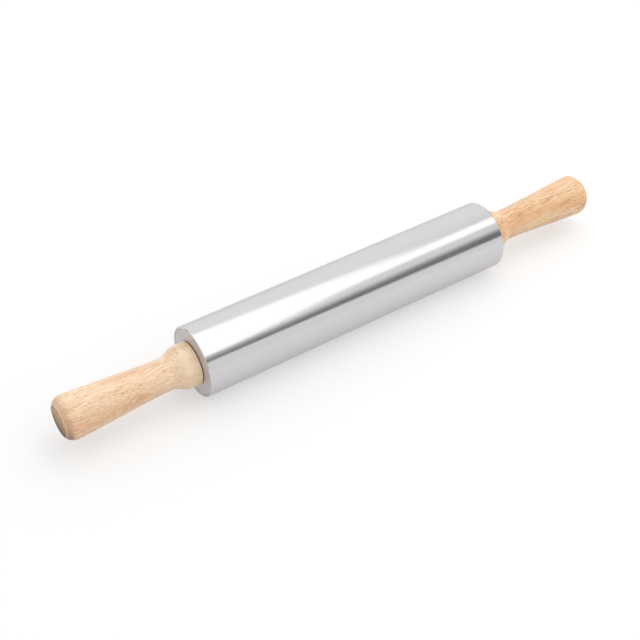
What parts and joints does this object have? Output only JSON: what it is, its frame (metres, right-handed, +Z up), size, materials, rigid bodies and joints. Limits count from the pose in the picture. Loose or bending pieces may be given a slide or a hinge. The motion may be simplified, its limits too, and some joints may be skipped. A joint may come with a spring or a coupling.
{
  "type": "rolling pin",
  "caption": "Hollow steel barrel that turns on ball bearings about a fixed axle, with a turned wooden handle on each end, for rolling out dough.",
  "frame": {"origin": "middle of the barrel, on the axle's axis", "axes": "+X along the axle towards the right handle, +Z up, away from the surface the barrel lies on"},
  "size_m": [0.444, 0.0508, 0.0508],
  "materials": {
    "barrel_steel": "stainless steel, finely ground and polished round the barrel",
    "cap_steel": "pressed stainless sheet, satin",
    "bearing_steel": "ground bearing steel",
    "ball_steel": "polished bearing balls",
    "plated_steel": "zinc-plated steel",
    "brass": "turned brass",
    "nylon": "moulded nylon",
    "wood": "turned pale hardwood under thin clear lacquer"
  },
  "bodies": {
    "axle_and_handles": {"axle_rod": "plated_steel", "left_snap_ring": "plated_steel", "left_bearing_inner_race": "bearing_steel", "left_thrust_washer": "plated_steel", "left_jam_nut": "plated_steel", "left_threaded_insert": "brass", "left_handle": "wood", "right_snap_ring": "plated_steel", "right_bearing_inner_race": "bearing_steel", "right_thrust_washer": "plated_steel", "right_jam_nut": "plated_steel", "right_threaded_insert": "brass", "right_handle": "wood"},
    "barrel": {"barrel_tube": "barrel_steel", "left_end_cap": "cap_steel", "left_bearing_outer_race": "bearing_steel", "left_bearing_outer_shield": "bearing_steel", "left_bearing_inner_shield": "bearing_steel", "right_end_cap": "cap_steel", "right_bearing_outer_race": "bearing_steel", "right_bearing_outer_shield": "bearing_steel", "right_bearing_inner_shield": "bearing_steel"},
    "left_cage": {"left_bearing_cage": "nylon", "left_bearing_ball_1": "ball_steel", "left_bearing_ball_2": "ball_steel", "left_bearing_ball_3": "ball_steel", "left_bearing_ball_4": "ball_steel", "left_bearing_ball_5": "ball_steel", "left_bearing_ball_6": "ball_steel", "left_bearing_ball_7": "ball_steel"},
    "right_cage": {"right_bearing_cage": "nylon", "right_bearing_ball_1": "ball_steel", "right_bearing_ball_2": "ball_steel", "right_bearing_ball_3": "ball_steel", "right_bearing_ball_4": "ball_steel", "right_bearing_ball_5": "ball_steel", "right_bearing_ball_6": "ball_steel", "right_bearing_ball_7": "ball_steel"}
  },
  "joints": [
    {"name": "barrel_spin", "type": "hinge", "parent": "axle_and_handles", "child": "barrel", "pos_m": [0, 0, 0], "axis": [1, 0, 0], "continuous": true},
    {"name": "left_cage_spin", "type": "hinge", "parent": "axle_and_handles", "child": "left_cage", "pos_m": [-0.121, 0, 0], "axis": [1, 0, 0], "continuous": true},
    {"name": "right_cage_spin", "type": "hinge", "parent": "axle_and_handles", "child": "right_cage", "pos_m": [0.121, 0, 0], "axis": [1, 0, 0], "continuous": true}
  ],
  "couplings": [
    {"joint": "left_cage_spin", "follows": "barrel_spin", "ratio": 0.6323},
    {"joint": "right_cage_spin", "follows": "barrel_spin", "ratio": 0.6323}
  ]
}
